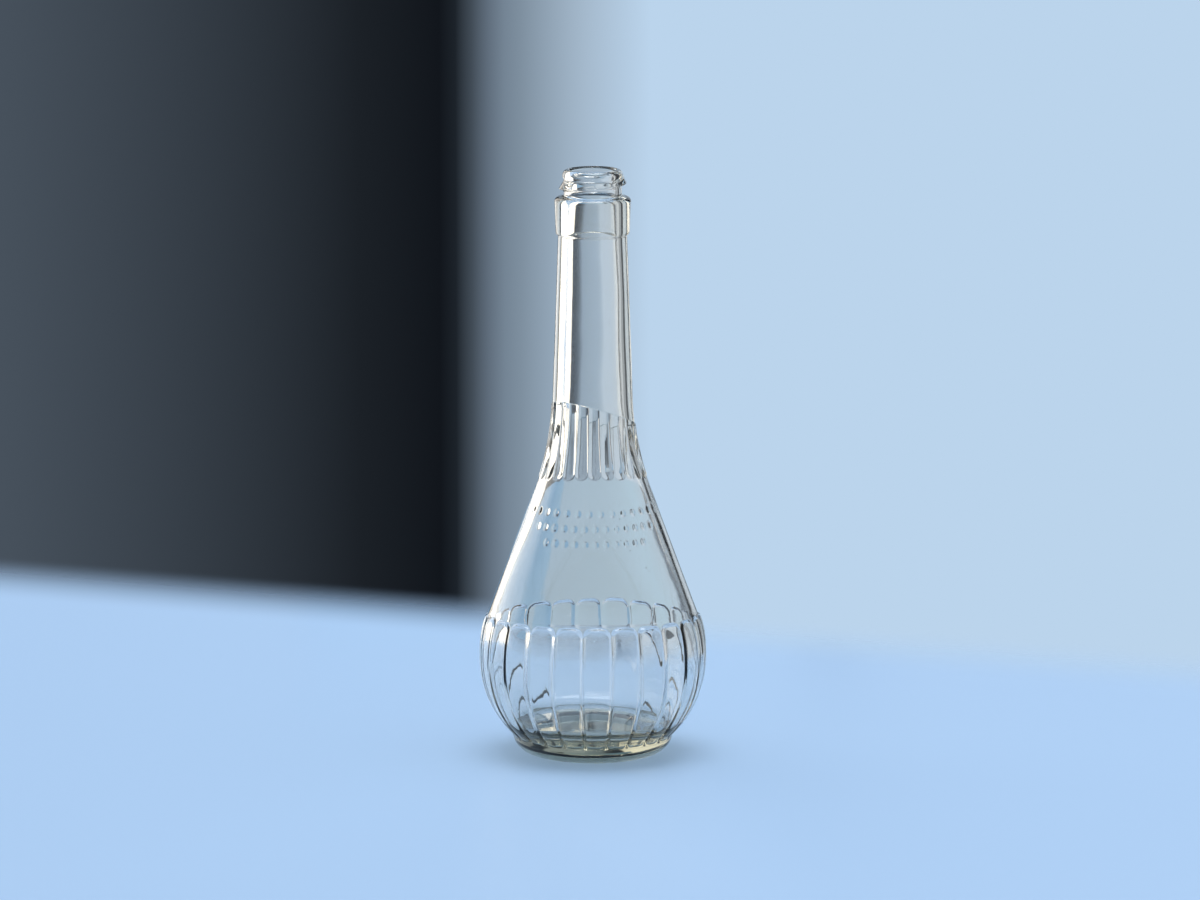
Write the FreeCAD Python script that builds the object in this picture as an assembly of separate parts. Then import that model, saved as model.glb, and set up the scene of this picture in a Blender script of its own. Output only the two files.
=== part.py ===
import FreeCAD, Part
import math
import os

# A clear glass bottle, all sizes in millimetres, +Z up. The origin is the centre of the
# bottle on the surface that it stands on, and the front is towards -Y.
# A round belly ringed with upright lobes sits on a plain foot, and a conical shoulder runs
# up into a slim neck, which has a slanted cuff of ribs at its base and a collar at its top.
# Heights above the shoulder follow from tangency, so each size can be changed by itself.

# Overall sizes
bottle_height = 245.0
belly_radius = 47.6
belly_height = 42.9
foot_radius = 33.4

# Body: the plain surface that the lobes and ribs stand on
belly_arc_radius = 49.0
shoulder_angle = 20.3
neck_radius = 14.3
neck_taper = 1.96
neck_blend_radius = 111.0

# Glass thickness
body_wall = 2.5
floor_height = 14.5
floor_dome_radius = 140.0
inner_heel_radius = 9.2
bore_radius = 9.5
bore_taper = 1.58
bore_blend_radius = 97.0

# Foot: a soft heel down to a narrow flat ring, which the bottle stands on
heel_width = 10.2
heel_height = 8.8
standing_ring_width = 2.6
push_up_height = 2.7

# Lobes round the belly
lobe_count = 24
lobe_height = 1.3
lobe_top_curve_radius = 9.4
lobe_foot_curve_radius = 6.7
lobe_end_rounding = 1.6
lobe_overhang = 1.4

# Ribs round the base of the neck, cut off by a slanting plane at the top and by a less
# slanting one at the foot, which is highest at the front
rib_count = 24
rib_height = 0.45
rib_top_curve_radius = 4.6
rib_foot_curve_radius = 6.6
rib_end_rounding = 0.5
cuff_height = 29.8
cuff_slant = 20.6
cuff_high_side = -135.0
cuff_foot_rise = 2.9
cuff_foot_slant = 5.8
cuff_foot_high_side = -90.0

# Collar and plain finish wall, measured down from the rim
finish_radius = 12.6
finish_height = 11.1
collar_height = 16.6
collar_top_step = 1.6
collar_foot_step = 1.0
collar_shoulder_drop = 2.6
collar_shoulder_rounding = 0.8
collar_foot_rounding = 0.8
collar_undercut = 0.7
lip_drop = 3.0
lip_crest_share = 0.28
lip_inner_drop = 1.4


def point(radius, height):
    """A point of a meridian, in the plane of X and Z."""
    return FreeCAD.Vector(radius, 0, height)


def line(start, end):
    return Part.LineSegment(start, end).toShape()


def arc(start, middle, end):
    return Part.Arc(start, middle, end).toShape()


def on_circle(centre, radius, angle):
    """The point of a circle at an angle in degrees above the outward horizontal."""
    turn = math.radians(angle)
    return centre + point(radius * math.cos(turn), radius * math.sin(turn))


def angle_of(centre, place):
    """The angle in degrees above the outward horizontal at which a centre sees a place."""
    return math.degrees(math.atan2(place.z - centre.z, place.x - centre.x))


def circle_arc(centre, radius, start_angle, end_angle):
    middle_angle = (start_angle + end_angle) / 2
    return arc(on_circle(centre, radius, start_angle),
               on_circle(centre, radius, middle_angle),
               on_circle(centre, radius, end_angle))


def quarter_ellipse(corner_centre, width, height, from_angle):
    """A quarter of an ellipse about a centre, from an angle of -90 or 0 up to 90 more."""
    if width >= height:
        ellipse = Part.Ellipse(corner_centre + point(width, 0),
                               corner_centre + point(0, height), corner_centre)
        shift = 0.0
    else:
        ellipse = Part.Ellipse(corner_centre + point(0, height),
                               corner_centre - point(width, 0), corner_centre)
        shift = -90.0
    start = math.radians(from_angle + shift)
    return Part.ArcOfEllipse(ellipse, start, start + math.pi / 2).toShape()


def crossing(start, direction, other_start, other_direction):
    """Where two lines of the meridian plane cross."""
    determinant = direction.x * other_direction.z - direction.z * other_direction.x
    gap = other_start - start
    along = (gap.x * other_direction.z - gap.z * other_direction.x) / determinant
    return start + direction * along


def circles_meet(centre, radius, other_centre, other_radius):
    """The outer crossing point of two circles of the meridian plane."""
    span = (other_centre - centre).Length
    along = (radius ** 2 - other_radius ** 2 + span ** 2) / (2 * span)
    aside = math.sqrt(radius ** 2 - along ** 2)
    forward = (other_centre - centre) * (1 / span)
    sideways = point(forward.z, -forward.x)
    if sideways.x < 0:
        sideways = sideways * -1
    return centre + forward * along + sideways * aside


def blend_ends(corner, lower_direction, upper_direction, radius):
    """The two tangent points of a blend arc at a corner between two lines, and its middle."""
    turn = lower_direction.getAngle(upper_direction)
    reach = radius * math.tan(turn / 2)
    lower = corner - lower_direction * reach
    upper = corner + upper_direction * reach
    inward = (upper_direction - lower_direction).normalize()
    middle = corner + inward * (radius / math.cos(turn / 2) - radius)
    return lower, middle, upper


def revolve(edges):
    """A solid from meridian edges that begin and end on the bottle's axis."""
    wire = Part.Wire(Part.__sortEdges__(edges))
    closing = line(wire.OrderedVertexes[-1].Point, wire.OrderedVertexes[0].Point)
    face = Part.Face(Part.Wire(edges + [closing]))
    return face.revolve(FreeCAD.Vector(0, 0, 0), FreeCAD.Vector(0, 0, 1), 360)


# Meridian geometry that several pieces share
belly_centre = point(belly_radius - lobe_height - belly_arc_radius, belly_height)
shoulder_direction = point(-math.sin(math.radians(shoulder_angle)),
                           math.cos(math.radians(shoulder_angle)))
shoulder_start = on_circle(belly_centre, belly_arc_radius, shoulder_angle)
foot_top_height = belly_height - math.sqrt(
    belly_arc_radius ** 2 - (foot_radius - belly_centre.x) ** 2)
collar_top_height = bottle_height - finish_height
collar_top_radius = neck_radius + collar_top_step
collar_foot_radius = neck_radius + collar_foot_step
lip_crest_radius = bore_radius + (finish_radius - bore_radius) * lip_crest_share
collar_foot_height = collar_top_height - collar_height
neck_direction = point(-math.sin(math.radians(neck_taper)), math.cos(math.radians(neck_taper)))
neck_top = point(neck_radius, collar_foot_height)
neck_corner = crossing(shoulder_start, shoulder_direction, neck_top, neck_direction)
blend_start, blend_middle, blend_end = blend_ends(
    neck_corner, shoulder_direction, neck_direction, neck_blend_radius)
blend_centre = blend_start + point(neck_blend_radius * math.cos(math.radians(shoulder_angle)),
                                   neck_blend_radius * math.sin(math.radians(shoulder_angle)))


def outer_edges():
    """The meridian of the plain outside, from the centre of the base up to the rim."""
    ring_outer = foot_radius - heel_width
    ring_inner = ring_outer - standing_ring_width
    push_up_radius = (ring_inner ** 2 + push_up_height ** 2) / (2 * push_up_height)
    push_up_centre = point(0, push_up_height - push_up_radius)
    push_up_rim = angle_of(push_up_centre, point(ring_inner, 0))
    foot_top = point(foot_radius, foot_top_height)
    edges = [circle_arc(push_up_centre, push_up_radius, 90, push_up_rim)]
    edges.append(line(point(ring_inner, 0), point(ring_outer, 0)))
    edges.append(quarter_ellipse(point(ring_outer, heel_height), heel_width, heel_height, -90))
    edges.append(line(point(foot_radius, heel_height), foot_top))
    edges.append(circle_arc(belly_centre, belly_arc_radius,
                            angle_of(belly_centre, foot_top), shoulder_angle))
    edges.append(line(shoulder_start, blend_start))
    edges.append(arc(blend_start, blend_middle, blend_end))
    edges.append(line(blend_end, neck_top))
    return edges + collar_edges() + lip_edges()


def collar_edges():
    """The collar's undercut, wall and rounded shoulder, and the plain wall above it."""
    wall_foot = point(collar_foot_radius,
                      collar_foot_height + collar_undercut + collar_foot_rounding)
    undercut_end = point(collar_foot_radius - collar_foot_rounding,
                         collar_foot_height + collar_undercut)
    foot_middle = point(collar_foot_radius - collar_foot_rounding * (1 - math.sqrt(0.5)),
                        wall_foot.z - collar_foot_rounding * math.sqrt(0.5))
    wall_direction = (point(collar_top_radius, collar_top_height - collar_shoulder_drop)
                      - wall_foot).normalize()
    slope_end = point(finish_radius, collar_top_height)
    corner = point(collar_top_radius, collar_top_height - collar_shoulder_drop)
    slope_direction = (slope_end - corner).normalize()
    lower, middle, upper = blend_ends(corner, wall_direction, slope_direction,
                                      collar_shoulder_rounding)
    return [line(neck_top, undercut_end),
            arc(undercut_end, foot_middle, wall_foot),
            line(wall_foot, lower),
            arc(lower, middle, upper),
            line(upper, slope_end),
            line(slope_end, point(finish_radius, bottle_height - lip_drop))]


def lip_edges():
    """The outer half of the rounded lip, and the flat on top of it."""
    lip_centre = point(lip_crest_radius, bottle_height - lip_drop)
    return [quarter_ellipse(lip_centre, finish_radius - lip_crest_radius, lip_drop, 0),
            line(point(lip_crest_radius, bottle_height), point(0, bottle_height))]


def inner_edges():
    """The meridian of the hollow, from the floor's centre up past the rim."""
    inner_arc_radius = belly_arc_radius - body_wall
    inner_shoulder_start = on_circle(belly_centre, inner_arc_radius, shoulder_angle)
    dome_centre = point(0, floor_height - floor_dome_radius)
    heel_centre = circles_meet(belly_centre, inner_arc_radius - inner_heel_radius,
                               dome_centre, floor_dome_radius + inner_heel_radius)
    heel_low_angle = angle_of(heel_centre, dome_centre) % 360
    heel_high_angle = angle_of(belly_centre, heel_centre) % 360
    floor_angle = angle_of(dome_centre, heel_centre)
    mouth_foot = point(bore_radius, bottle_height - lip_inner_drop)
    bore_direction = point(-math.sin(math.radians(bore_taper)), math.cos(math.radians(bore_taper)))
    corner = crossing(inner_shoulder_start, shoulder_direction, mouth_foot, bore_direction)
    lower, middle, upper = blend_ends(corner, shoulder_direction, bore_direction,
                                      bore_blend_radius)
    mouth_edge = point(lip_crest_radius, bottle_height)
    mouth_middle = point(mouth_edge.x - (mouth_edge.x - bore_radius) * math.sqrt(0.5),
                         mouth_foot.z + lip_inner_drop * math.sqrt(0.5))
    return [circle_arc(dome_centre, floor_dome_radius, 90, floor_angle),
            circle_arc(heel_centre, inner_heel_radius, heel_low_angle, heel_high_angle),
            circle_arc(belly_centre, inner_arc_radius, heel_high_angle, 360 + shoulder_angle),
            line(inner_shoulder_start, lower),
            arc(lower, middle, upper),
            line(upper, mouth_foot),
            arc(mouth_foot, mouth_middle, mouth_edge),
            line(mouth_edge, point(mouth_edge.x, bottle_height + 1)),
            line(point(mouth_edge.x, bottle_height + 1), point(0, bottle_height + 1))]


def sector(count, reach, bottom, top):
    """The slice of space that one of so many equal lobes may fill, about the X direction."""
    half = math.radians(180 / count)
    near = FreeCAD.Vector(0, 0, bottom)
    right = FreeCAD.Vector(reach, -reach * math.tan(half), bottom)
    left = FreeCAD.Vector(reach, reach * math.tan(half), bottom)
    outline = Part.makePolygon([near, right, left, near])
    return Part.Face(outline).extrude(FreeCAD.Vector(0, 0, top - bottom))


def spindle(centre, radius, low, high, low_curve, high_curve, rounding):
    """A round bar along a leaning axis, which follows a meridian circle on its outer side.

    The bar's own radius is low_curve where the meridian point low lies, and high_curve at
    the point high, so a lobe is gently round across and follows the body from end to end.
    """
    axis_low = low - point(low_curve, 0)
    axis_high = high - point(high_curve, 0)
    direction = (axis_high - axis_low).normalize()
    foot_of_low = axis_low + direction * (low - axis_low).dot(direction)
    foot_of_high = axis_low + direction * (high - axis_low).dot(direction)
    outward = ((low + high) * 0.5 - centre).normalize()
    crest = arc(low, centre + outward * radius, high)
    face = Part.Face(Part.Wire([line(foot_of_low, low), crest, line(high, foot_of_high),
                                line(foot_of_high, foot_of_low)]))
    bar = face.revolve(axis_low, direction, 360)
    ends = [edge for edge in bar.Edges
            if isinstance(edge.Curve, Part.Circle)
            and (edge.distToShape(Part.Vertex(low))[0] < 1e-6
                 or edge.distToShape(Part.Vertex(high))[0] < 1e-6)
            and edge.Length > 2 * math.pi * rounding]
    return bar.makeFillet(rounding, ends)


def ring_of(piece, count):
    """Copies of a piece round the bottle, the first of them at the front."""
    copies = []
    for index in range(count):
        copy = piece.copy()
        copy.rotate(FreeCAD.Vector(0, 0, 0), FreeCAD.Vector(0, 0, 1), index * 360 / count - 90)
        copies.append(copy)
    return copies


def lobes():
    """The upright lobes round the belly, from just over the foot to the shoulder's start."""
    crest_radius = belly_arc_radius + lobe_height
    low_height = foot_top_height - lobe_overhang
    drop = belly_height - low_height
    low = point(belly_centre.x + math.sqrt(crest_radius ** 2 - drop ** 2), low_height)
    high = on_circle(belly_centre, crest_radius, shoulder_angle)
    bar = spindle(belly_centre, crest_radius, low, high,
                  lobe_foot_curve_radius, lobe_top_curve_radius, lobe_end_rounding)
    slice_of_body = sector(lobe_count, 2 * belly_radius, 0, bottle_height)
    return ring_of(bar.common(slice_of_body), lobe_count)


def half_space(height, slant, high_side, upward):
    """A box that fills the space under or over a plane, which slants up to one side."""
    span = 4 * belly_radius
    corner = FreeCAD.Vector(-span / 2, -span / 2, 0 if upward else -span)
    space = Part.makeBox(span, span, span, corner)
    space.rotate(FreeCAD.Vector(0, 0, 0), FreeCAD.Vector(0, 1, 0), -slant)
    space.rotate(FreeCAD.Vector(0, 0, 0), FreeCAD.Vector(0, 0, 1), high_side)
    space.translate(FreeCAD.Vector(0, 0, height))
    return space


def ribs():
    """The cuff of ribs round the neck's base, between the two slanting planes."""
    crest_radius = neck_blend_radius - rib_height
    cuff_middle = blend_start.z + cuff_height
    cuff_reach = blend_end.x * math.tan(math.radians(cuff_slant))
    foot_reach = blend_start.x * math.tan(math.radians(cuff_foot_slant))
    low_angle = 180 + math.degrees(math.asin(
        (blend_centre.z - blend_start.z - cuff_foot_rise + 1.5 * foot_reach) / crest_radius))
    low = on_circle(blend_centre, crest_radius, low_angle)
    high_angle = 180 + math.degrees(math.asin((blend_centre.z - cuff_middle - 1.5 * cuff_reach)
                                              / crest_radius))
    high = on_circle(blend_centre, crest_radius, high_angle)
    bar = spindle(blend_centre, crest_radius, low, high,
                  rib_foot_curve_radius, rib_top_curve_radius, rib_end_rounding)
    slice_of_body = sector(rib_count, 2 * belly_radius, 0, bottle_height)
    below = half_space(cuff_middle, cuff_slant, cuff_high_side, False)
    above = half_space(blend_start.z + cuff_foot_rise, cuff_foot_slant, cuff_foot_high_side, True)
    cuff = below.common(above)
    return [rib.common(cuff) for rib in ring_of(bar.common(slice_of_body), rib_count)]


def make_bottle():
    outside = revolve(outer_edges())
    outside = outside.fuse(lobes() + ribs())
    bottle = outside.cut(revolve(inner_edges()))
    return bottle.removeSplitter().Solids[0]


os.makedirs("parts", exist_ok=True)
make_bottle().exportStep("parts/bottle.step")
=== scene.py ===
import math

import bpy
import numpy as np
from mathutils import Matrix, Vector, noise


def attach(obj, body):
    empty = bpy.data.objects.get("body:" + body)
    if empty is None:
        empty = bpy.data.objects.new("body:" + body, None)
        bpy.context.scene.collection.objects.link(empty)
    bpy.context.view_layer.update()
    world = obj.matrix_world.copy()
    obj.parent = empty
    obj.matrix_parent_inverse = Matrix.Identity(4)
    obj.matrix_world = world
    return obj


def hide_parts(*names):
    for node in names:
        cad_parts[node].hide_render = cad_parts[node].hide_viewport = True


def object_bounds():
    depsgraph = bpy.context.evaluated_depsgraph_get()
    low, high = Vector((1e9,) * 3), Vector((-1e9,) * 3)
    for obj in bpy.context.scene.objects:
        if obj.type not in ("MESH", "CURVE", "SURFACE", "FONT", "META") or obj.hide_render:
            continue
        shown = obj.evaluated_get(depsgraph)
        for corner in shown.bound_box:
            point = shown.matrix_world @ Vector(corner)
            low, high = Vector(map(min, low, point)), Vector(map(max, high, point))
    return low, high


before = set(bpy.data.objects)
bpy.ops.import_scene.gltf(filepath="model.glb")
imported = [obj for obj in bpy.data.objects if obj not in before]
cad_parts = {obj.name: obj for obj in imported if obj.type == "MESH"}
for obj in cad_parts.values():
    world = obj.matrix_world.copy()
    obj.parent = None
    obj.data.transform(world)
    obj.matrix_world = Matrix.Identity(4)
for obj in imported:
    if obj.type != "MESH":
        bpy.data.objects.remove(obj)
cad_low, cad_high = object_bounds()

bl_info = {
    "name": "Genie bottle",
    "version": (1, 0, 0),
    "blender": (4, 5, 0),
    "location": "3D View > Sidebar > Bottle",
    "description": "A lobed glass bottle with a ribbed cuff, on a pale table in soft light",
    "category": "Add Mesh",
}

MM = 0.001
LOBES = 24
# Columns of points round each wall. The body has 16 for each lobe and each rib above it.
BODY_COLUMNS = 16 * LOBES
NECK_COLUMNS = 192
BORE_COLUMNS = 128
# Rows of pellets on the front of the shoulder: height and width in mm, and how many.
PELLET_ROWS = ((105, 49, 14), (99, 46, 13), (93, 40, 11))
# Half the width and half the length of one pellet in mm.
PELLET_HALF = (1.25, 1.7)


# ---------------------------------------------------------------- sizes and colours

def length(name, description, millimetres):
    return bpy.props.FloatProperty(name=name, description=description, default=millimetres * MM,
                                   min=0.0, precision=5, unit="LENGTH")


def turn(name, description, degrees):
    return bpy.props.FloatProperty(name=name, description=description,
                                   default=math.radians(degrees), subtype="ANGLE")


def linear(hex_colour):
    """A linear colour from an sRGB hex value."""
    parts = [int(hex_colour[k:k + 2], 16) / 255 for k in (1, 3, 5)]
    return [part / 12.92 if part <= 0.04045 else ((part + 0.055) / 1.055) ** 2.4
            for part in parts]


def colour(name, description, hex_colour):
    return bpy.props.FloatVectorProperty(name=name, description=description, size=3,
                                         subtype="COLOR", min=0.0, max=1.0,
                                         default=linear(hex_colour))


class BottleSizes(bpy.types.PropertyGroup):
    height: length("Height", "From the table to the rim", cad_high.z / MM)
    belly_radius: length("Belly radius", "Out to the crests of the lobes", cad_high.x / MM)
    belly_height: length("Belly height", "Height of the widest place", 42.9)
    belly_arc: length("Belly curve", "Radius of the belly's side, under the lobes", 49.0)
    foot_radius: length("Foot radius", "Radius of the plain foot", 33.4)
    heel_width: length("Heel width", "How far in the soft heel reaches", 10.2)
    heel_height: length("Heel height", "How high the soft heel reaches", 8.8)
    ring_width: length("Standing ring", "Width of the ring that it stands on", 2.6)
    push_up: length("Push-up", "Rise of the hollow under the base", 2.7)
    shoulder_lean: turn("Shoulder lean", "Lean of the shoulder's side", 20.3)
    neck_radius: length("Neck radius", "Radius just under the collar", 14.3)
    neck_run: length("Upper neck", "From the collar down to where neck and body are joined", 58.0)
    neck_lean: turn("Neck lean", "Lean of the neck's side", 1.96)
    neck_blend: length("Neck blend", "Radius between shoulder and neck", 111.0)
    wall: length("Wall", "Glass thickness of belly and shoulder", 2.5)
    floor_height: length("Floor height", "Glass under the hollow at its middle", 15.5)
    floor_dome: length("Floor dome", "Radius of the hollow's floor", 140.0)
    inner_heel: length("Inner heel", "Radius between floor and wall inside", 9.2)
    bore_radius: length("Bore radius", "Radius of the mouth", 9.5)
    bore_lean: turn("Bore lean", "Lean of the bore's side", 1.58)
    bore_blend: length("Bore blend", "Radius between bore and shoulder inside", 97.0)
    lobe_height: length("Lobe height", "How far the lobes stand out", 1.3)
    arch_corner: length("Arch corner", "Rounding of the lobes' arches", 3.7)
    groove: length("Groove", "Half the width of the grooves between the lobes", 0.22)
    arch_drop: length("Arch drop", "How much lower the arches lie at the back", 3.4)
    rib_height: length("Rib height", "How far the cuff's ribs stand out", 0.40)
    cuff_height: length("Cuff height", "Middle height of the ribbed cuff", 29.8)
    cuff_slant: turn("Cuff slant", "Tilt of the plane that cuts the ribs off", 20.6)
    cuff_side: turn("Cuff high side", "Direction in which the cuff is highest", -135.0)
    cuff_foot: length("Cuff foot", "Middle height of the ribs' feet over the blend", 2.9)
    cuff_foot_slant: turn("Cuff foot slant", "Tilt of the ribs' feet, up at the front", 5.8)
    collar_height: length("Collar height", "From the collar's foot to its top", 16.6)
    collar_foot_step: length("Collar foot step", "How far the collar's foot stands out", 1.0)
    collar_top_step: length("Collar top step", "How far the collar's top stands out", 1.6)
    collar_bead: length("Collar bead", "Rounding under the collar's foot", 0.8)
    collar_fall: length("Collar fall", "How far the collar's top falls to its edge", 0.5)
    collar_edge: length("Collar edge", "Rounding of the collar's upper edge", 2.1)
    finish_height: length("Finish height", "From the collar's top to the rim", 11.1)
    finish_radius: length("Finish radius", "Radius of the wall under the lip", 12.6)
    finish_waist: length("Finish waist", "How far the wall draws in under the lip", 0.6)
    lip_height: length("Lip height", "Height of the lip's outer rounding", 3.0)
    mouth_height: length("Mouth height", "Height of the lip's inner rounding", 1.4)
    thread_start: length("Thread start", "From the rim down to the thread's first crest", 8.0)
    thread_height: length("Thread height", "Thread's crest over the finish radius", 1.4)
    thread_pitch: length("Thread pitch", "Rise of the thread in one turn", 4.7)
    pellet_height: length("Pellet height", "How far the rows of pellets stand out", 0.35)


class BottleGlass(bpy.types.PropertyGroup):
    depth_tint: colour("Depth tint", "Colour that is left after a long way through glass",
                       "#DDDDD3")
    depth: bpy.props.FloatProperty(name="Tint strength", description="Absorption per metre",
                                   default=60.0, min=0.0)
    ior: bpy.props.FloatProperty(name="IOR", description="Index of refraction", default=1.52)


class StageLook(bpy.types.PropertyGroup):
    table: colour("Table", "Colour of the table top", "#A2C1E4")
    ceiling: colour("Ceiling", "Light of the room's ceiling", "#C4CBD2")
    softbox: bpy.props.FloatProperty(name="Softbox", description="Brightness of the overhead box",
                                     default=6.0, min=0.0)
    board_distance: length("Board distance", "From the bottle back to the low lit board", 400.0)
    camera_distance: length("Camera distance", "From the lens to the bottle", 3062.0)
    lens: bpy.props.FloatProperty(name="Focal length", description="Focal length of the lens",
                                  default=221.4, min=1.0, unit="CAMERA")
    aim_height: length("Aim height", "Height that the lens is aimed at", 127.6)
    aim_side: length("Aim side", "How far to the right of the bottle the lens is aimed", 3.0)
    camera_rise: turn("Camera rise", "Height of the lens above level", 9.5)
    camera_side: turn("Camera side", "How far the camera stands to the right of the front",
                      -2.2)


# ---------------------------------------------------------------- the meridian

def place(radius, height):
    return Vector((radius, height))


def on_circle(centre, radius, degrees):
    """The point of a meridian circle at an angle above the outward horizontal."""
    angle = math.radians(degrees)
    return centre + radius * place(math.cos(angle), math.sin(angle))


def angle_of(centre, point):
    return math.degrees(math.atan2(point.y - centre.y, point.x - centre.x))


def straight(start, end, spacing):
    """Points after the start of a straight run, about so far apart."""
    count = max(1, round((end - start).length / spacing))
    return [start.lerp(end, k / count) for k in range(1, count + 1)]


def arc(centre, radius, start, end, spacing):
    """Points after the start of an arc, between angles in degrees."""
    count = max(1, round(abs(math.radians(end - start)) * radius / spacing))
    return [on_circle(centre, radius, start + (end - start) * k / count)
            for k in range(1, count + 1)]


def quarter(centre, width, height, start, spacing):
    """Points after the start of a quarter ellipse, which begins at -90, 0 or 90 degrees."""
    count = max(2, round(math.pi / 4 * (width + height) / spacing))
    points = []
    for k in range(1, count + 1):
        angle = math.radians(start + 90 * k / count)
        points.append(centre + place(width * math.cos(angle), height * math.sin(angle)))
    return points


def crossing(start, direction, other_start, other_direction):
    """Where two lines of the meridian plane cross."""
    gap = other_start - start
    bend = direction.x * other_direction.y - direction.y * other_direction.x
    along = (gap.x * other_direction.y - gap.y * other_direction.x) / bend
    return start + direction * along


def rounding(corner, incoming, outgoing, radius):
    """Centre, start and end of an arc that rounds a corner between two directions."""
    half = incoming.angle(outgoing) / 2
    reach = radius * math.tan(half)
    inward = (outgoing - incoming).normalized()
    centre = corner + inward * (radius / math.cos(half))
    return centre, corner - incoming * reach, corner + outgoing * reach


def leaning(angle):
    """The direction of a side that leans in by an angle on its way up."""
    return place(-math.sin(angle), math.cos(angle))


class Outline:
    """Places on the bottle's meridian that its parts share."""

    def __init__(self, s):
        self.s = s
        self.belly = place(s.belly_radius - s.lobe_height - s.belly_arc, s.belly_height)
        self.shoulder_way = leaning(s.shoulder_lean)
        self.shoulder_foot = on_circle(self.belly, s.belly_arc, math.degrees(s.shoulder_lean))
        drop = math.sqrt(s.belly_arc ** 2 - (s.foot_radius - self.belly.x) ** 2)
        self.foot_top = place(s.foot_radius, s.belly_height - drop)
        self.collar_top = s.height - s.finish_height
        self.neck_top = place(s.neck_radius, self.collar_top - s.collar_height)
        self.neck_way = leaning(s.neck_lean)
        corner = crossing(self.shoulder_foot, self.shoulder_way, self.neck_top, self.neck_way)
        self.blend, self.blend_foot, self.blend_top = rounding(
            corner, self.shoulder_way, self.neck_way, s.neck_blend)
        self.join = self.neck_top - self.neck_way * s.neck_run
        self.lip_start = s.height - s.lip_height
        # The highest ring of the rim lies nearer to the mouth than to the outside.
        self.crest = place(s.bore_radius + (s.finish_radius - s.bore_radius) * 0.28, s.height)

    def neck_radius_at(self, height):
        """Radius of the plain outside at heights above the foot of the neck's blend."""
        blend = self.blend.x - np.sqrt(self.s.neck_blend ** 2 - (height - self.blend.y) ** 2)
        neck = self.blend_top.x - (height - self.blend_top.y) * math.tan(self.s.neck_lean)
        return np.where(height < self.blend_top.y, blend, neck)

    def body_rows(self):
        """The plain outside from the middle of the base to half way up the neck."""
        s = self.s
        ring_outer = s.foot_radius - s.heel_width
        ring_inner = ring_outer - s.ring_width
        dome_radius = (ring_inner ** 2 + s.push_up ** 2) / (2 * s.push_up)
        dome = place(0, s.push_up - dome_radius)
        rows = [place(0, s.push_up)]
        rows += arc(dome, dome_radius, 90, angle_of(dome, place(ring_inner - 0.4 * MM, 0)), 4 * MM)
        rows += [place(ring_inner, 0.03 * MM), place(ring_inner + 0.4 * MM, 0),
                 place(ring_outer, 0)]
        rows += quarter(place(ring_outer, s.heel_height), s.heel_width, s.heel_height,
                        -90, 0.85 * MM)
        rows += straight(rows[-1], self.foot_top, 0.5 * MM)
        low = angle_of(self.belly, self.foot_top)
        lean = math.degrees(s.shoulder_lean)
        for end, spacing in ((low + 5, 0.5), (lean - 8, 1.1), (lean, 0.42)):
            rows += arc(self.belly, s.belly_arc, angle_of(self.belly, rows[-1]), end,
                        spacing * MM)
        pellets_low = self.shoulder_foot + self.shoulder_way * 31 * MM
        pellets_high = self.shoulder_foot + self.shoulder_way * 51 * MM
        rows += straight(rows[-1], rows[-1] + self.shoulder_way * 1.2 * MM, 0.4 * MM)
        rows += straight(rows[-1], pellets_low, 2.3 * MM)
        rows += straight(rows[-1], pellets_high, 1.6 * MM)
        rows += straight(rows[-1], self.blend_foot - self.shoulder_way * 1.5 * MM, 1.5 * MM)
        rows += straight(rows[-1], self.blend_foot, 0.5 * MM)
        ledge = self.blend_foot.y + s.cuff_height
        heights = list(np.arange(self.blend_foot.y + 0.6 * MM, self.blend_foot.y + 8 * MM,
                                 0.6 * MM))
        heights += list(np.linspace(heights[-1], ledge - 1.2 * MM, 15)[1:])
        heights += [ledge - gap * MM for gap in (0.75, 0.4, 0.2, 0.07, -0.07, -0.25, -0.7, -1.6)]
        heights += list(np.linspace(heights[-1], self.join.y, 9)[1:])
        radii = self.neck_radius_at(np.array(heights))
        return rows + [place(radius, height) for radius, height in zip(radii, heights)]

    def neck_rows(self):
        """The outside from half way up the neck over the collar to the crest of the lip."""
        s = self.s
        first = self.join + self.neck_way * 1.2 * MM
        foot_radius = s.neck_radius + s.collar_foot_step
        top_radius = s.neck_radius + s.collar_top_step
        rows = [first] + straight(first, self.neck_top - self.neck_way * 2 * MM, 4.5 * MM)
        rows += straight(rows[-1], self.neck_top, 0.7 * MM)
        bead = place(foot_radius - s.collar_bead, self.neck_top.y + 1.5 * MM)
        rows += [place(bead.x, bead.y - s.collar_bead)]
        rows += quarter(bead, s.collar_bead, s.collar_bead, -90, 0.25 * MM)
        corner = place(top_radius, self.collar_top - s.collar_fall)
        slope_end = place(s.finish_radius, self.collar_top)
        wall_way = (corner - rows[-1]).normalized()
        slope_way = (slope_end - corner).normalized()
        centre, low, high = rounding(corner, wall_way, slope_way, s.collar_edge)
        rows += straight(rows[-1], low, 1.6 * MM)
        rows += arc(centre, s.collar_edge, angle_of(centre, low), angle_of(centre, high),
                    0.2 * MM)
        rows += straight(high, slope_end - slope_way * 0.4 * MM, 0.8 * MM)
        rows += [slope_end + place(0.02, 0.22) * MM]
        rows += straight(rows[-1], place(s.finish_radius, self.lip_start), 0.3 * MM)
        rows += quarter(place(self.crest.x, self.lip_start), s.finish_radius - self.crest.x,
                        s.lip_height, 0, 0.45 * MM)
        return rows

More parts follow.
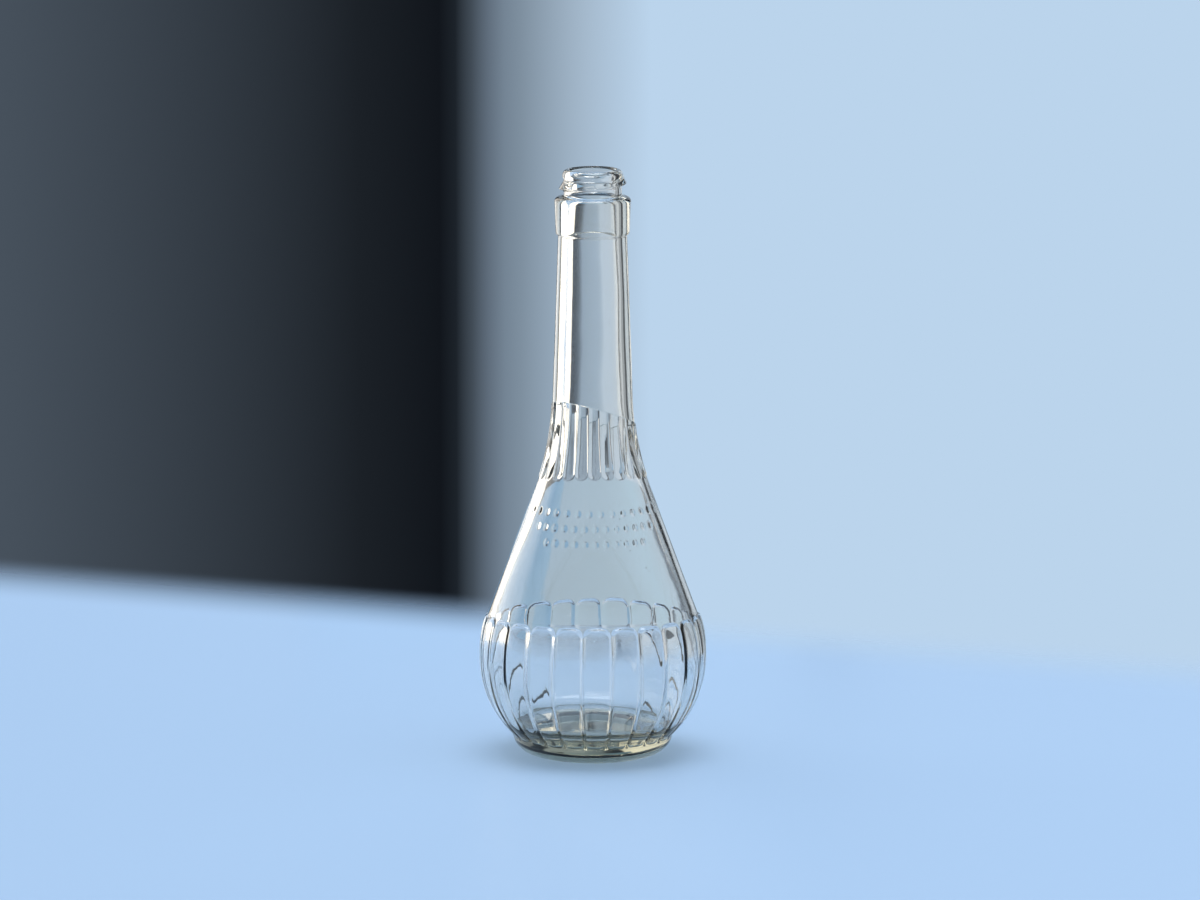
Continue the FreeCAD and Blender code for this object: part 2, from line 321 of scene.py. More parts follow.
    def hollow_rows(self):
        """The inside from the crest of the lip down to the middle of the floor."""
        s = self.s
        inner_arc = s.belly_arc - s.wall
        shoulder_foot = on_circle(self.belly, inner_arc, math.degrees(s.shoulder_lean))
        mouth = place(s.bore_radius, s.height - s.mouth_height)
        corner = crossing(shoulder_foot, self.shoulder_way, mouth, leaning(s.bore_lean))
        blend, low, high = rounding(corner, self.shoulder_way, leaning(s.bore_lean), s.bore_blend)
        dome = place(0, s.floor_height - s.floor_dome)
        reach, other = inner_arc - s.inner_heel, s.floor_dome + s.inner_heel
        span = (dome - self.belly).length
        along = (reach ** 2 - other ** 2 + span ** 2) / (2 * span)
        forward = (dome - self.belly).normalized()
        aside = place(-forward.y, forward.x) * math.sqrt(reach ** 2 - along ** 2)
        heel = self.belly + forward * along + (aside if aside.x > 0 else -aside)
        rows = quarter(place(self.crest.x, mouth.y), self.crest.x - mouth.x, s.mouth_height,
                       90, 0.35 * MM)
        rows += straight(mouth, high, 3.6 * MM)
        rows += arc(blend, s.bore_blend, angle_of(blend, high) % 360, angle_of(blend, low) % 360,
                    3.4 * MM)
        rows += straight(low, shoulder_foot, 3.6 * MM)
        rows += arc(self.belly, inner_arc, math.degrees(s.shoulder_lean),
                    angle_of(self.belly, heel), 2.6 * MM)
        rows += arc(heel, s.inner_heel, angle_of(self.belly, heel), angle_of(dome, heel) - 180,
                    1.0 * MM)
        rows += arc(dome, s.floor_dome, angle_of(dome, heel), 90, 2.6 * MM)
        return rows


# ---------------------------------------------------------------- modelling

def start_fresh():
    """Leaves edit mode and selects nothing."""
    if bpy.context.object and bpy.context.object.mode != "OBJECT":
        bpy.ops.object.mode_set(mode="OBJECT")
    bpy.ops.object.select_all(action="DESELECT")


def turn_on_lathe(name, rows, columns, inside=False):
    """Draws a meridian point by point and spins it into a wall."""
    start_fresh()
    bpy.ops.mesh.primitive_plane_add(size=MM)
    wall = bpy.context.object
    wall.name = name
    bpy.ops.object.mode_set(mode="EDIT")
    bpy.ops.mesh.select_mode(type="VERT")
    bpy.ops.mesh.select_all(action="SELECT")
    bpy.ops.mesh.merge(type="CENTER")
    bpy.ops.transform.translate(value=(rows[0].x, 0, rows[0].y))
    for here, there in zip(rows, rows[1:]):
        bpy.ops.mesh.extrude_region_move(
            TRANSFORM_OT_translate={"value": (there.x - here.x, 0, there.y - here.y)})
    bpy.ops.mesh.select_all(action="SELECT")
    bpy.ops.mesh.spin(steps=columns, angle=2 * math.pi, center=(0, 0, 0), axis=(0, 0, 1))
    bpy.ops.mesh.select_all(action="SELECT")
    bpy.ops.mesh.remove_doubles(threshold=0.002 * MM)
    bpy.ops.mesh.select_all(action="SELECT")
    bpy.ops.mesh.normals_make_consistent(inside=inside)
    bpy.ops.object.mode_set(mode="OBJECT")
    return wall


def read_points(piece):
    """Distance from the axis, angle round it and height of each point of a piece."""
    points = np.empty(len(piece.data.vertices) * 3)
    piece.data.vertices.foreach_get("co", points)
    x, y, z = points.reshape(-1, 3).T
    return np.hypot(x, y), np.arctan2(y, x), z


def write_points(piece, radius, angle, height):
    """Moves the points of a piece to new places round the axis."""
    points = np.stack([radius * np.cos(angle), radius * np.sin(angle), height], axis=1)
    piece.data.vertices.foreach_set("co", points.ravel())
    piece.data.update()


def ramp(value, low, high):
    """Eases from 0 at low to 1 at high."""
    t = np.clip((value - low) / (high - low), 0, 1)
    return t * t * (3 - 2 * t)


def unevenness(radius, angle, height, size, seed):
    """Soft random swelling between about -1 and 1, with bumps of about one size."""
    offset = Vector((seed, 2 * seed, -seed))
    return np.array([noise.noise(Vector((r * math.cos(a), r * math.sin(a), h)) / size + offset)
                     for r, a, h in zip(radius, angle, height)]) * 1.6


def edge_profile(depth, width):
    """Height of a pressed edge, from 0 at the outline to 1 at its width."""
    t = np.clip(depth / width, 0, 1)
    return (1 - (1 - t) ** 2.3) ** 0.8


def arch_depth(side, end, corner):
    """How deep a place lies inside an outline with rounded corners."""
    inside_corner = (side < corner) & (end < corner)
    rounded = corner - np.hypot(corner - side, corner - end)
    return np.where(inside_corner, rounded, np.minimum(side, end))


def higher(first, second, softness):
    """The larger of two values, with a soft change between them."""
    blend = np.clip(0.5 + (first - second) / (2 * softness), 0, 1)
    return second + (first - second) * blend + softness * blend * (1 - blend)


def gather_columns(radius, angle, height, outline):
    """Draws the columns of points together at the grooves, where the form changes quickly."""
    # The lobes end under a height of 62 mm, and the ribs start over 112 mm.
    on_lobes = 1 - ramp(height, 62 * MM, 78 * MM)
    on_ribs = (ramp(height, 106 * MM, 112 * MM)
               - ramp(height, outline.join.y - 8 * MM, outline.join.y - 1 * MM))
    gather = (0.6 * on_lobes + 0.5 * on_ribs) * ramp(radius, 5 * MM, 26 * MM)
    return angle + gather / LOBES * np.sin(LOBES * angle)


def off_crest(angle):
    """Angle round the axis from the nearest crest of a lobe or a rib."""
    return np.abs((angle * LOBES / (2 * math.pi) + 0.5) % 1 - 0.5) * 2 * math.pi / LOBES


def raise_lobes(radius, angle, height, outline):
    """Raises pillowed panels on the belly, arched at the top and run out into the foot."""
    s = outline.s
    away_r, away_z = radius - outline.belly.x, height - outline.belly.y
    reach, rise = np.hypot(away_r, away_z), np.arctan2(away_z, away_r)
    on_base = (height <= 3 * MM) | (radius <= 30 * MM)
    on_belly = (rise < s.shoulder_lean + 0.02) & ~on_base
    half = math.pi / LOBES * np.maximum(radius, MM)
    across = off_crest(angle) * radius

    # Towards the back the arches lie lower, and the lobes are softer and less high.
    backward = 1 + np.sin(angle)
    lowered = s.arch_drop * (1.1 * backward + 0.3 * backward ** 2) / 3.4
    end = (s.shoulder_lean + 0.002 - rise) * s.belly_arc - lowered
    depth = arch_depth(half - across - s.groove, end, s.arch_corner)
    edge_width = (0.85 + 0.7 * backward) * MM
    pressed = edge_profile(depth, edge_width)
    domed = np.clip(1 - (across / half) ** 2, 0, 1) * edge_profile(depth, 5 * MM)
    lobe = (0.74 * pressed + 0.26 * domed) * (1 - 0.25 * backward)

    # The lobes fade out just under the top of the plain foot.
    lobe *= ramp(height, outline.foot_top.y - 3.6 * MM, outline.foot_top.y - 1.0 * MM)

    # The lower half of the belly is a little fuller than its arc.
    fuller_arc = math.radians(43)
    fuller = 0.5 * MM * np.sin(np.clip(-rise / fuller_arc, 0, 1) * math.pi)
    reach = np.where(on_belly, reach + fuller, reach)
    lobed = np.where(height < outline.foot_top.y, s.belly_arc, reach) + s.lobe_height * lobe
    reach = np.where(on_belly, higher(reach, lobed, 0.12 * MM), reach)
    radius = np.where(on_belly, outline.belly.x + reach * np.cos(rise), radius)
    height = np.where(on_belly, outline.belly.y + reach * np.sin(rise), height)
    return radius, height


def raise_ribs(radius, angle, height, outline):
    """Lays the rows of points along the cuff's slanting ledge and raises the ribs under it."""
    s = outline.s
    ledge = outline.blend_foot.y + s.cuff_height
    foot = outline.blend_foot.y + s.cuff_foot
    in_cuff = (height > outline.blend_foot.y) & (height < ledge)
    on_neck = height > outline.blend_foot.y
    share = np.where(height > ledge, (outline.join.y - height) / (outline.join.y - ledge),
                     (height - foot) / (ledge - foot))
    ledge_radius = float(outline.neck_radius_at(np.array([ledge]))[0])
    slant = ledge_radius * math.tan(s.cuff_slant) * np.cos(angle - s.cuff_side)
    height = np.where(on_neck, height + slant * np.clip(share, 0, 1), height)
    radius = np.where(on_neck, outline.neck_radius_at(np.where(on_neck, height, ledge)), radius)

    foot = foot - outline.blend_foot.x * math.tan(s.cuff_foot_slant) * np.sin(angle)
    half = math.pi / LOBES * np.maximum(radius, MM)
    end = np.clip(half - (height - foot), 0, None)
    # Each rib is broad on top, and falls off quickly at its sides and its round foot.
    rib = np.clip(1 - (np.hypot(off_crest(angle) * radius, end) / half) ** 2.8, 0, 1)
    return radius + np.where(in_cuff, rib * s.rib_height, 0), height


def shape_body(wall, outline):
    """Raises the lobes and the cuff of ribs on the plain lower wall."""
    radius, angle, height = read_points(wall)
    angle = gather_columns(radius, angle, height, outline)
    radius, height = raise_lobes(radius, angle, height, outline)
    radius, height = raise_ribs(radius, angle, height, outline)
    radius = radius + unevenness(radius, angle, height, 16 * MM, 3.1) * 0.05 * MM
    write_points(wall, radius, angle, height)


def pellets(outline):
    """Places of the raised pellets, as angles, heights and radii."""
    for row_height, row_width, count in PELLET_ROWS:
        row_height = row_height * MM
        along = (row_height - outline.shoulder_foot.y) / outline.shoulder_way.y
        row_radius = outline.shoulder_foot.x + outline.shoulder_way.x * along
        half_angle = math.asin(row_width * MM / 2 / row_radius)
        for k in range(count):
            yield (-math.pi / 2 + half_angle * (2 * k / (count - 1) - 1), row_height, row_radius)


def raise_pellets(wall, outline):
    """Divides the front of the shoulder more finely and raises the rows of pellets."""
    s = outline.s
    mesh = wall.data
    radius, angle, height = read_points(wall)
    half_front = math.radians(66)
    front = np.abs((angle + math.pi / 2 + math.pi) % (2 * math.pi) - math.pi) < half_front
    margin = 3.5
    low, high = (PELLET_ROWS[-1][0] - margin) * MM, (PELLET_ROWS[0][0] + margin) * MM
    inside = front & (height > low) & (height < high)
    start_fresh()
    wall.select_set(True)
    bpy.context.view_layer.objects.active = wall
    bpy.ops.object.mode_set(mode="EDIT")
    bpy.ops.mesh.select_mode(type="EDGE")
    bpy.ops.mesh.select_all(action="DESELECT")
    bpy.ops.object.mode_set(mode="OBJECT")
    # Only the upright edges are divided, those that climb by more than 0.8 mm.
    for edge in mesh.edges:
        first, second = edge.vertices
        if inside[first] and inside[second] and abs(height[first] - height[second]) > 0.8 * MM:
            edge.select = True
    bpy.ops.object.mode_set(mode="EDIT")
    bpy.ops.mesh.subdivide(number_cuts=3)
    bpy.ops.object.mode_set(mode="OBJECT")
    radius, angle, height = read_points(wall)
    lift = np.zeros_like(radius)
    for middle_angle, middle_height, middle_radius in pellets(outline):
        aside = ((angle - middle_angle + math.pi) % (2 * math.pi) - math.pi) * middle_radius
        above = (height - middle_height) / outline.shoulder_way.y
        far = np.hypot(aside / (PELLET_HALF[0] * MM), above / (PELLET_HALF[1] * MM))
        lift = np.maximum(lift, np.clip(1 - far ** 2, 0, 1) ** 0.7)
    lift *= s.pellet_height
    write_points(wall, radius + lift * outline.shoulder_way.y, angle,
                 height - lift * outline.shoulder_way.x)


def shape_neck(wall, outline):
    """Winds the screw thread round the finish, steeper on its lower flank."""
    s = outline.s
    radius, angle, height = read_points(wall)
    along = np.degrees(angle) % 360
    ridge = np.zeros_like(radius)
    # The thread fades in over 40 to 90 degrees of its run and out over 372 to 410 degrees.
    for turns in (0, 360):
        run = along + turns
        crest = s.height - s.thread_start + s.thread_pitch * (run - 180) / 360
        fade = ramp(run, 40, 90) * (1 - ramp(run, 372, 410))
        flank = np.where(height > crest, 3.6 * MM, 1.1 * MM)
        cross = np.clip(1 - np.abs(height - crest) / flank, 0, 1)
        ridge = np.maximum(ridge, cross ** 1.2 * (1 + 0.35 * cross * (1 - cross)) * fade)
    # The wall is drawn in from the collar's top up to the foot of the lip.
    waist = ramp(height, outline.collar_top, outline.collar_top + 0.6 * MM)
    waist = waist * (1 - ramp(height, s.height - 4.6 * MM, s.height - 2.6 * MM)) * s.finish_waist
    on_finish = (height > outline.collar_top) & (radius > s.finish_radius - 0.4 * MM)
    crest_height = waist + s.thread_height
    radius = radius + np.where(on_finish, ridge * crest_height - waist, 0)
    soft = 1 - ramp(height, outline.collar_top, s.height)
    radius = radius + unevenness(radius, angle, height, 14 * MM, 3.1) * 0.05 * MM * soft
    write_points(wall, radius, angle, height)


def shape_hollow(wall, outline):
    """Gives the hollow the soft unevenness of blown glass."""
    s = outline.s
    radius, angle, height = read_points(wall)
    fade = ramp(s.height - height, 2 * MM, 12 * MM) * ramp(radius, 1 * MM, 8 * MM)
    swell = (0.13 * unevenness(radius, angle, height, 26 * MM, 7.7)
             + 0.03 * unevenness(radius, angle, height, 9 * MM, 5.3)) * MM
    write_points(wall, radius + swell * fade, angle, height)


def bridge(piece, low, high):
    """Closes the gap between two open rings that lie between two heights."""
    start_fresh()
    piece.select_set(True)
    bpy.context.view_layer.objects.active = piece
    bpy.ops.object.mode_set(mode="EDIT")
    bpy.ops.mesh.select_mode(type="EDGE")
    bpy.ops.mesh.select_all(action="DESELECT")
    bpy.ops.mesh.select_non_manifold(extend=False, use_wire=False, use_multi_face=False,
                                     use_non_contiguous=False, use_verts=False)
    bpy.ops.object.mode_set(mode="OBJECT")
    points = piece.data.vertices
    for edge in piece.data.edges:
        if edge.select and not low < points[edge.vertices[0]].co.z < high:
            edge.select = False
    bpy.ops.object.mode_set(mode="EDIT")
    bpy.ops.mesh.bridge_edge_loops()
    bpy.ops.object.mode_set(mode="OBJECT")


def join(pieces, name):
    start_fresh()
    for piece in pieces:
        piece.select_set(True)
    bpy.context.view_layer.objects.active = pieces[0]
    bpy.ops.object.join()
    joined = bpy.context.object
    joined.name = name
    joined.data.name = name
    return joined


# ---------------------------------------------------------------- materials

def add_node(tree, kind, settings=None, inputs=None, links=None):
    """Adds a node with its settings and values, and links sockets of other nodes to it."""
    node = tree.nodes.new(kind)
    for key, value in (settings or {}).items():
        setattr(node, key, value)
    for key, value in (inputs or {}).items():
        node.inputs[key].default_value = value
    for key, socket in (links or {}).items():
        tree.links.new(socket, node.inputs[key])
    return node


def new_material(name):
    material = bpy.data.materials.new(name)
    material.use_nodes = True
    material.node_tree.nodes.clear()
    return material, material.node_tree


def blown_glass(look):
    """Clear soda-lime container glass, blown into a cast-iron mould: bright, colourless where
    it is thin, with soft bends in what shows through it."""
    material, tree = new_material("mould_blown_soda_lime_glass")
    where = add_node(tree, "ShaderNodeTexCoord").outputs["Object"]
    # The mould's skin leaves a faint orange-peel ripple with waves of about 3 mm.
    ripple = add_node(tree, "ShaderNodeTexNoise",
                      inputs={"Scale": 1 / (3 * MM), "Detail": 2.0, "Roughness": 0.45},
                      links={"Vector": where})
    ripple_bump = add_node(tree, "ShaderNodeBump",
                           inputs={"Strength": 0.35, "Distance": 0.02 * MM},
                           links={"Height": ripple.outputs["Fac"]})
    # Seeds are tiny bubbles at the surface, about 0.5 mm across, one to some 3 square cm.
    cells = add_node(tree, "ShaderNodeTexVoronoi", inputs={"Scale": 1 / (7 * MM)},
                     links={"Vector": where})
    chance = add_node(tree, "ShaderNodeSeparateColor", links={"Color": cells.outputs["Color"]})
    picked = add_node(tree, "ShaderNodeMath", {"operation": "GREATER_THAN"}, {1: 0.82},
                      {0: chance.outputs["Red"]})
    pit = add_node(tree, "ShaderNodeMapRange", {"interpolation_type": "SMOOTHSTEP"},
                   {"From Min": 0.02, "From Max": 0.055, "To Min": 1.0, "To Max": 0.0},
                   {"Value": cells.outputs["Distance"]})
    seeds = add_node(tree, "ShaderNodeMath", {"operation": "MULTIPLY"}, None,
                     {0: pit.outputs["Result"], 1: picked.outputs["Value"]})
    seed_bump = add_node(tree, "ShaderNodeBump",
                         inputs={"Strength": 0.6, "Distance": 0.15 * MM},
                         links={"Height": seeds.outputs["Value"],
                                "Normal": ripple_bump.outputs["Normal"]})
    surface = add_node(tree, "ShaderNodeBsdfPrincipled",
                       inputs={"Base Color": (1, 1, 1, 1), "Roughness": 0.0, "IOR": look.ior,
                               "Transmission Weight": 1.0},
                       links={"Normal": seed_bump.outputs["Normal"]})
    depth = add_node(tree, "ShaderNodeVolumeAbsorption",
                     inputs={"Color": (*look.depth_tint, 1), "Density": look.depth})
    # Clear glass casts a light shadow, since every surface lets most of the light through.
    path = add_node(tree, "ShaderNodeLightPath")
    passing = add_node(tree, "ShaderNodeMath", {"operation": "MULTIPLY"}, {1: 0.85},
                       {0: path.outputs["Is Shadow Ray"]})
    clear = add_node(tree, "ShaderNodeBsdfTransparent")
    both = add_node(tree, "ShaderNodeMixShader",
                    links={0: passing.outputs["Value"], 1: surface.outputs["BSDF"],
                           2: clear.outputs["BSDF"]})
    add_node(tree, "ShaderNodeOutputMaterial",
             links={"Surface": both.outputs["Shader"], "Volume": depth.outputs["Volume"]})
    return material


def painted_table(look):
    """Satin lacquered board: an even pale blue with a faint broad sheen."""
    material, tree = new_material("satin_lacquered_table_board")
    where = add_node(tree, "ShaderNodeTexCoord").outputs["Object"]
    grain = add_node(tree, "ShaderNodeTexNoise",
                     inputs={"Scale": 1 / (2 * MM), "Detail": 3.0, "Roughness": 0.6},
                     links={"Vector": where})
    bump = add_node(tree, "ShaderNodeBump", inputs={"Strength": 0.2, "Distance": 0.05 * MM},
                    links={"Height": grain.outputs["Fac"]})
    top = add_node(tree, "ShaderNodeBsdfPrincipled",
                   inputs={"Base Color": (*look.table, 1), "Roughness": 0.45,
                           "Specular IOR Level": 0.3},
                   links={"Normal": bump.outputs["Normal"]})
    # The far side of the table melts softly into the backdrop, 70 mm nearer where it is seen
    # through the glass than where the lens sees it.
    parts = add_node(tree, "ShaderNodeSeparateXYZ", links={"Vector": where})
    slope = add_node(tree, "ShaderNodeMath", {"operation": "MULTIPLY_ADD"}, {1: 0.47},
                     {0: parts.outputs["X"], 2: parts.outputs["Y"]})
    lens = add_node(tree, "ShaderNodeLightPath").outputs["Is Camera Ray"]
    seen = add_node(tree, "ShaderNodeMath", {"operation": "MULTIPLY_ADD"}, {1: -0.07},
                    {0: lens, 2: slope.outputs["Value"]})
    fade = add_node(tree, "ShaderNodeMapRange", {"interpolation_type": "SMOOTHSTEP"},
                    {"From Min": 0.16, "From Max": 0.27}, {"Value": seen.outputs["Value"]})
    clear = add_node(tree, "ShaderNodeBsdfTransparent")
    mixed = add_node(tree, "ShaderNodeMixShader",
                     links={0: fade.outputs["Result"], 1: top.outputs["BSDF"],
                            2: clear.outputs["BSDF"]})
    add_node(tree, "ShaderNodeOutputMaterial", links={"Surface": mixed.outputs["Shader"]})
    return material


# Brightness and tint of the studio round the bottle, by the direction in degrees to the
# right of straight back: a tall soft window light to the left, a dark flag on each side of
# the pale card behind the bottle, pale walls to the right and dim ones towards the front.
SURROUNDINGS = (
    (-180, (0.30, 0.33, 0.36)),
    (-110, (0.30, 0.33, 0.37)),
    (-86, (0.24, 0.25, 0.27)),
    (-76, (1.4, 1.34, 1.25)),
    (-22, (2.2, 2.1, 1.95)),
    (-15, (1.8, 1.68, 1.5)),
    (-14, (0.03, 0.03, 0.033)),
    (-9, (0.035, 0.037, 0.04)),
    (-7, (0.08, 0.09, 0.10)),
    (-4.5, (0.14, 0.165, 0.185)),
    (-3.6, (0.31, 0.385, 0.475)),
    (5.4, (0.41, 0.51, 0.62)),
    (6.2, (0.57, 0.67, 0.78)),
    (30, (0.60, 0.68, 0.76)),
    (31.5, (0.02, 0.022, 0.025)),
    (42, (0.02, 0.022, 0.025)),
    (45, (0.34, 0.37, 0.40)),
    (55, (0.34, 0.37, 0.40)),
    (60, (0.70, 0.75, 0.80)),
    (110, (0.70, 0.75, 0.80)),
    (150, (0.40, 0.43, 0.46)),
    (180, (0.30, 0.33, 0.36)),
)

# Light of the low board that stands on the table behind the bottle, by the distance in mm
# to the right of the bottle: a blue sheet, a pale grey-blue card, a dark strip and a grey end.
BOARD = (
    (-120, (0.27, 0.45, 0.66)),
    (-45, (0.26, 0.43, 0.62)),
    (-24, (0.33, 0.50, 0.67)),
    (-20, (0.42, 0.54, 0.65)),
    (30, (0.44, 0.57, 0.68)),
    (75, (0.46, 0.62, 0.74)),
    (108, (0.46, 0.58, 0.68)),
    (116, (0.05, 0.055, 0.06)),
    (135, (0.05, 0.055, 0.06)),
    (147, (0.38, 0.45, 0.52)),
    (175, (0.38, 0.45, 0.52)),
)

# The backdrop as the lens sees it, by the same direction: pale all round, with a shaded
# part to the left that ends in a soft edge.
BACKDROP = (
    (-30, "#BBD4EC"),
    (-14, "#8496A8"),
    (-2.4, "#46505B"),
    (0.3, "#1C2127"),
    (1.04, "#10141A"),
    (1.11, "#272F37"),
    (1.19, "#3F4953"),
    (1.27, "#535F6D"),
    (1.42, "#718191"),
    (1.58, "#7E8F9F"),
    (2.05, "#A3B7CA"),
    (2.6, "#BBD4EC"),
)


def light_ramp(tree, value, stops, brightest):
    """Light by a value, from stops that each hold a value and its linear light."""
    low, high = stops[0][0], stops[-1][0]
    along = add_node(tree, "ShaderNodeMapRange", None, {"From Min": low, "From Max": high},
                     {"Value": value})
    mix = add_node(tree, "ShaderNodeValToRGB", links={"Fac": along.outputs["Result"]})
    elements = mix.color_ramp.elements
    elements.remove(elements[-1])
    for index, (stop, light) in enumerate(stops):
        position = (stop - low) / (high - low)
        element = elements[0] if index == 0 else elements.new(position)
        element.position = position
        element.color = (*[part / brightest for part in light], 1)
    return add_node(tree, "ShaderNodeVectorMath", {"operation": "SCALE"},
                    {"Scale": brightest}, {0: mix.outputs["Color"]}).outputs["Vector"]


def lit_board():
    """Back-lit board: shows no surface of its own, only even light that changes across it."""
    material, tree = new_material("back_lit_board")
    parts = add_node(tree, "ShaderNodeSeparateXYZ", links={
        "Vector": add_node(tree, "ShaderNodeTexCoord").outputs["Object"]})
    across = add_node(tree, "ShaderNodeMath", {"operation": "MULTIPLY"}, {1: 1 / MM},
                      {0: parts.outputs["X"]})
    glow = add_node(tree, "ShaderNodeEmission",
                    links={"Color": light_ramp(tree, across.outputs["Value"], BOARD, 1.0)})
    add_node(tree, "ShaderNodeOutputMaterial", links={"Surface": glow.outputs["Emission"]})
    return material


def studio_surroundings(look):
    """Lights the world: the backdrop for the lens, the studio's light and shade for the rest."""
    world = bpy.data.worlds.new("studio")
    bpy.context.scene.world = world
    world.use_nodes = True
    tree = world.node_tree
    tree.nodes.clear()
    way = add_node(tree, "ShaderNodeTexCoord").outputs["Generated"]
    parts = add_node(tree, "ShaderNodeSeparateXYZ", links={"Vector": way})
    turned = add_node(tree, "ShaderNodeMath", {"operation": "ARCTAN2"}, None,
                      {0: parts.outputs["X"], 1: parts.outputs["Y"]})
    degrees = add_node(tree, "ShaderNodeMath", {"operation": "DEGREES"}, None,
                       {0: turned.outputs["Value"]}).outputs["Value"]
    studio = light_ramp(tree, degrees, SURROUNDINGS, 3.0)
    # Overhead, from the sine of the height above level, the room runs into its ceiling, with
    # a big soft light box in the middle.
    room = add_node(tree, "ShaderNodeMapRange", {"interpolation_type": "SMOOTHSTEP"},
                    {"From Min": 0.50, "From Max": 0.75}, {"Value": parts.outputs["Z"]})
    roofed = add_node(tree, "ShaderNodeMix", {"data_type": "RGBA"}, {7: (*look.ceiling, 1)},
                      {0: room.outputs["Result"], 6: studio})
    box = add_node(tree, "ShaderNodeMapRange", {"interpolation_type": "SMOOTHSTEP"},
                   {"From Min": 0.93, "From Max": 0.96}, {"Value": parts.outputs["Z"]})
    lit = add_node(tree, "ShaderNodeMix", {"data_type": "RGBA"},
                   {7: (look.softbox, look.softbox, look.softbox, 1)},
                   {0: box.outputs["Result"], 6: roofed.outputs[2]})
    stops = [(direction, linear(hex_colour)) for direction, hex_colour in BACKDROP]
    backdrop = light_ramp(tree, degrees, stops, 1.0)
    lens = add_node(tree, "ShaderNodeLightPath").outputs["Is Camera Ray"]
    seen = add_node(tree, "ShaderNodeMix", {"data_type": "RGBA"}, None,
                    {0: lens, 6: lit.outputs[2], 7: backdrop})
    light = add_node(tree, "ShaderNodeBackground", links={"Color": seen.outputs[2]})
    add_node(tree, "ShaderNodeOutputWorld", links={"Surface": light.outputs["Background"]})


# ---------------------------------------------------------------- operators

class MESH_OT_genie_bottle(bpy.types.Operator):
    """Blow the bottle: lobed belly, ribbed cuff, collar, thread and hollow in one glass wall"""
    bl_idname = "mesh.genie_bottle"
    bl_label = "Bottle"
    bl_options = {"REGISTER", "UNDO"}

    def execute(self, context):
        outline = Outline(context.scene.bottle_sizes)
        body = turn_on_lathe("body", outline.body_rows(), BODY_COLUMNS)
        shape_body(body, outline)
        raise_pellets(body, outline)
        neck = turn_on_lathe("neck", outline.neck_rows(), NECK_COLUMNS)
        shape_neck(neck, outline)
        hollow = turn_on_lathe("hollow", outline.hollow_rows(), BORE_COLUMNS, inside=True)
        shape_hollow(hollow, outline)
        bottle = join([body, neck, hollow], "glass_bottle")
        bridge(bottle, outline.join.y - 10 * MM, outline.join.y + 10 * MM)
        bridge(bottle, outline.s.height - 2 * MM, outline.s.height + 1 * MM)
        start_fresh()
        bottle.select_set(True)
        bpy.ops.object.mode_set(mode="EDIT")
        bpy.ops.mesh.select_all(action="SELECT")
        bpy.ops.mesh.normals_make_consistent(inside=False)
        bpy.ops.object.mode_set(mode="OBJECT")
        bpy.ops.object.shade_smooth()
        bottle.data.materials.clear()
        bottle.data.materials.append(blown_glass(context.scene.bottle_glass))
        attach(bottle, "root")
        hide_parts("bottle")
        return {"FINISHED"}


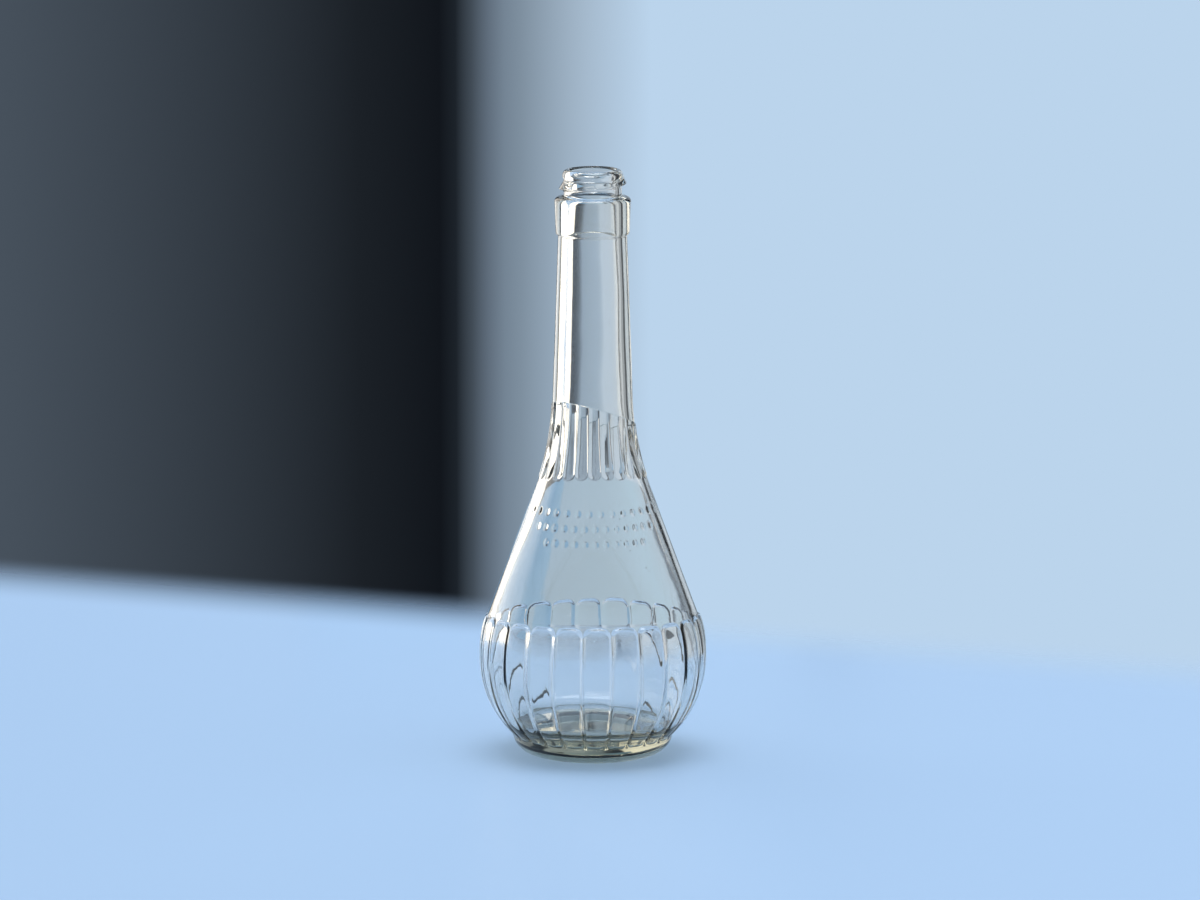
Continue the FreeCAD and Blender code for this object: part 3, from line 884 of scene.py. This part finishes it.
class SCENE_OT_bottle_stage(bpy.types.Operator):
    """Set the stage: pale table, low lit board, soft light and camera"""
    bl_idname = "scene.bottle_stage"
    bl_label = "Stage"
    bl_options = {"REGISTER", "UNDO"}

    def execute(self, context):
        look = context.scene.stage_look
        start_fresh()
        # The table is 12 m across, so its edges stay out of sight from every side.
        bpy.ops.mesh.primitive_plane_add(size=12)
        table = context.object
        table.name = "table_top"
        table.data.materials.append(painted_table(look))
        start_fresh()
        bpy.ops.mesh.primitive_plane_add(size=1, rotation=(math.pi / 2, 0, 0))
        board = context.object
        board.name = "low_board"
        left_end, right_end = BOARD[0][0] * MM, BOARD[-1][0] * MM
        bottom, top = -30 * MM, 70 * MM
        bpy.ops.transform.resize(value=(right_end - left_end, 1, top - bottom))
        bpy.ops.transform.translate(value=((left_end + right_end) / 2, look.board_distance,
                                           (bottom + top) / 2))
        bpy.ops.object.transform_apply(location=True, rotation=True, scale=True)
        board.data.materials.append(lit_board())
        board.visible_camera = board.visible_diffuse = board.visible_shadow = False
        studio_surroundings(look)

        side, rise = look.camera_side, look.camera_rise
        back = Vector((math.sin(side) * math.cos(rise), -math.cos(side) * math.cos(rise),
                       math.sin(rise)))
        right = Vector((math.cos(side), math.sin(side), 0))
        aim = Vector((0, 0, look.aim_height)) + right * look.aim_side
        bpy.ops.object.camera_add(location=aim + back * look.camera_distance)
        camera = context.object
        camera.rotation_mode = "QUATERNION"
        camera.rotation_quaternion = (-back).to_track_quat("-Z", "Y")
        camera.data.sensor_width = 36.0
        camera.data.lens = look.lens
        camera.data.clip_start, camera.data.clip_end = 0.01, 100.0
        context.scene.camera = camera
        context.scene.view_settings.view_transform = "Standard"
        return {"FINISHED"}


class VIEW3D_PT_genie_bottle(bpy.types.Panel):
    bl_label = "Genie bottle"
    bl_space_type = "VIEW_3D"
    bl_region_type = "UI"
    bl_category = "Bottle"

    def draw(self, context):
        for group in ("bottle_sizes", "bottle_glass", "stage_look"):
            owner = getattr(context.scene, group)
            box = self.layout.box()
            for key in owner.__annotations__:
                box.prop(owner, key)
        self.layout.operator(MESH_OT_genie_bottle.bl_idname)
        self.layout.operator(SCENE_OT_bottle_stage.bl_idname)


CLASSES = (BottleSizes, BottleGlass, StageLook, MESH_OT_genie_bottle, SCENE_OT_bottle_stage,
           VIEW3D_PT_genie_bottle)


def register():
    for cls in CLASSES:
        bpy.utils.register_class(cls)
    bpy.types.Scene.bottle_sizes = bpy.props.PointerProperty(type=BottleSizes)
    bpy.types.Scene.bottle_glass = bpy.props.PointerProperty(type=BottleGlass)
    bpy.types.Scene.stage_look = bpy.props.PointerProperty(type=StageLook)


def unregister():
    del bpy.types.Scene.stage_look
    del bpy.types.Scene.bottle_glass
    del bpy.types.Scene.bottle_sizes
    for cls in reversed(CLASSES):
        bpy.utils.unregister_class(cls)


def main():
    register()
    bpy.ops.mesh.genie_bottle()
    bpy.ops.scene.bottle_stage()


if __name__ == "__main__":
    main()
